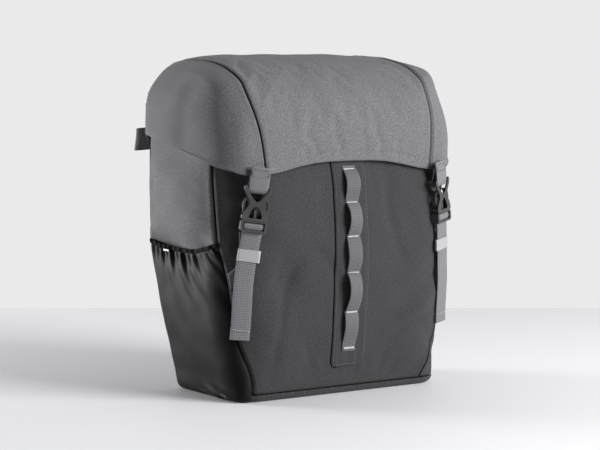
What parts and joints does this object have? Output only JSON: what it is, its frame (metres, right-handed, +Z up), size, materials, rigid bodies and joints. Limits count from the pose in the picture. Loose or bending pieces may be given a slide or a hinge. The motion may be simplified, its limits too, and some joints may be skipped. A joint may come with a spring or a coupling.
{
  "type": "pannier bag",
  "caption": "Top-flap bicycle pannier bag with buckled lid straps, front daisy chain webbing, stretch side pocket and rack hooks on the back.",
  "frame": {"origin": "on the floor under the middle of the base", "axes": "+X to the right seen from the front, -Y towards the front with the straps, +Y towards the rack, +Z up"},
  "size_m": [0.349, 0.2468, 0.4021],
  "materials": {
    "grey_fabric": "coarse melange weave with a soft sheen",
    "dark_fabric": "coarse weave, charcoal",
    "lining_fabric": "thin coated lining",
    "elastic_trim": "ribbed elastic binding",
    "stretch_fabric": "smooth satin stretch knit",
    "reflective_tape": "light grey reflective weave",
    "grey_webbing": "flat polyester webbing",
    "black_webbing": "ribbed nylon webbing",
    "piping": "rolled binding",
    "board": "pressed plastic board",
    "buckle_plastic": "moulded acetal, fine texture",
    "hook_plastic": "moulded nylon",
    "rail_metal": "black anodised",
    "steel": "zinc plated"
  },
  "bodies": {
    "bag": {"bottom_panel": "dark_fabric", "front_panel": "dark_fabric", "side_panel_left": "grey_fabric", "side_panel_right": "grey_fabric", "side_lower_panel_right": "dark_fabric", "back_panel": "dark_fabric", "stiffener_board": "board", "storm_collar": "lining_fabric", "collar_elastic_hem": "elastic_trim", "side_pocket": "stretch_fabric", "pocket_elastic_hem": "elastic_trim", "pocket_reflective_tab": "reflective_tape", "centre_patch": "dark_fabric", "daisy_chain_webbing": "grey_webbing", "daisy_bar_tacks": "reflective_tape", "buckle_plug_left": "buckle_plastic", "buckle_plug_right": "buckle_plastic", "strap_anchor_left": "grey_webbing", "strap_anchor_right": "grey_webbing", "strap_tail_left": "grey_webbing", "strap_tail_right": "grey_webbing", "rear_loop_left": "black_webbing", "rear_loop_right": "black_webbing", "upper_rail": "rail_metal", "upper_rail_screws": "steel", "lower_rail": "rail_metal", "lower_rail_screws": "steel", "handle_lugs": "hook_plastic"},
    "lid": {"lid_top_panel": "grey_fabric", "lid_gusset_left": "grey_fabric", "lid_gusset_right": "grey_fabric", "lid_piping_left": "piping", "lid_piping_right": "piping", "lid_webbing_left": "grey_webbing", "lid_webbing_right": "grey_webbing", "buckle_socket_left": "buckle_plastic", "buckle_socket_right": "buckle_plastic"},
    "sway_slider": {"sway_hook_slider": "hook_plastic"},
    "sway_arm": {"sway_hook": "hook_plastic"},
    "handle": {"carry_handle": "black_webbing"},
    "prong_outer_left": {"buckle_prong_outer_left": "buckle_plastic"},
    "prong_inner_left": {"buckle_prong_inner_left": "buckle_plastic"},
    "keeper_left": {"strap_keeper_left": "reflective_tape"},
    "hook_left": {"hook_left": "hook_plastic", "latch_pin_left": "steel"},
    "latch_left": {"hook_latch_left": "hook_plastic"},
    "prong_outer_right": {"buckle_prong_outer_right": "buckle_plastic"},
    "prong_inner_right": {"buckle_prong_inner_right": "buckle_plastic"},
    "keeper_right": {"strap_keeper_right": "reflective_tape"},
    "hook_right": {"hook_right": "hook_plastic", "latch_pin_right": "steel"},
    "latch_right": {"hook_latch_right": "hook_plastic"}
  },
  "joints": [
    {"name": "lid_open", "type": "hinge", "parent": "bag", "child": "lid", "pos_m": [0, 0.1, 0.348], "axis": [-1, 0, 0], "range_deg": [0, 95]},
    {"name": "press_outer_left", "type": "hinge", "parent": "bag", "child": "prong_outer_left", "pos_m": [-0.14545, -0.09226, 0.21543], "axis": [0.3746, 0.9272, 0], "range_deg": [0, 10], "stiffness_Nm_per_rad": 0.3, "springref_deg": -2.86},
    {"name": "press_inner_left", "type": "hinge", "parent": "bag", "child": "prong_inner_left", "pos_m": [-0.12526, -0.10042, 0.21237], "axis": [-0.3746, -0.9272, 0], "range_deg": [0, 10], "stiffness_Nm_per_rad": 0.3, "springref_deg": -2.86},
    {"name": "keeper_slide_left", "type": "slide", "parent": "bag", "child": "keeper_left", "axis": [-0.1061, 0.1081, -0.9885], "range_m": [-0.014, 0.065]},
    {"name": "hook_slide_left", "type": "slide", "parent": "bag", "child": "hook_left", "axis": [-1, 0, 0], "range_m": [-0.016, 0.018]},
    {"name": "latch_open_left", "type": "hinge", "parent": "hook_left", "child": "latch_left", "pos_m": [-0.09, 0.1085, 0.289], "axis": [-1, 0, 0], "range_deg": [0, 95], "stiffness_Nm_per_rad": 0.02, "springref_deg": -17.19},
    {"name": "press_outer_right", "type": "hinge", "parent": "bag", "child": "prong_outer_right", "pos_m": [0.14545, -0.09226, 0.21543], "axis": [0.3746, -0.9272, 0], "range_deg": [0, 10], "stiffness_Nm_per_rad": 0.3, "springref_deg": -2.86},
    {"name": "press_inner_right", "type": "hinge", "parent": "bag", "child": "prong_inner_right", "pos_m": [0.12526, -0.10042, 0.21237], "axis": [-0.3746, 0.9272, 0], "range_deg": [0, 10], "stiffness_Nm_per_rad": 0.3, "springref_deg": -2.86},
    {"name": "keeper_slide_right", "type": "slide", "parent": "bag", "child": "keeper_right", "axis": [0.1061, 0.1081, -0.9885], "range_m": [-0.014, 0.065]},
    {"name": "hook_slide_right", "type": "slide", "parent": "bag", "child": "hook_right", "axis": [1, 0, 0], "range_m": [-0.016, 0.018]},
    {"name": "latch_open_right", "type": "hinge", "parent": "hook_right", "child": "latch_right", "pos_m": [0.09, 0.1085, 0.289], "axis": [-1, 0, 0], "range_deg": [0, 95], "stiffness_Nm_per_rad": 0.02, "springref_deg": -17.19},
    {"name": "sway_slide", "type": "slide", "parent": "bag", "child": "sway_slider", "axis": [1, 0, 0], "range_m": [-0.044, 0.044]},
    {"name": "sway_turn", "type": "hinge", "parent": "sway_slider", "child": "sway_arm", "pos_m": [0, 0.114, 0.212], "axis": [0, 1, 0], "range_deg": [-90, 90]},
    {"name": "handle_swing", "type": "hinge", "parent": "bag", "child": "handle", "pos_m": [0, 0.113, 0.336], "axis": [1, 0, 0], "range_deg": [0, 85]}
  ]
}
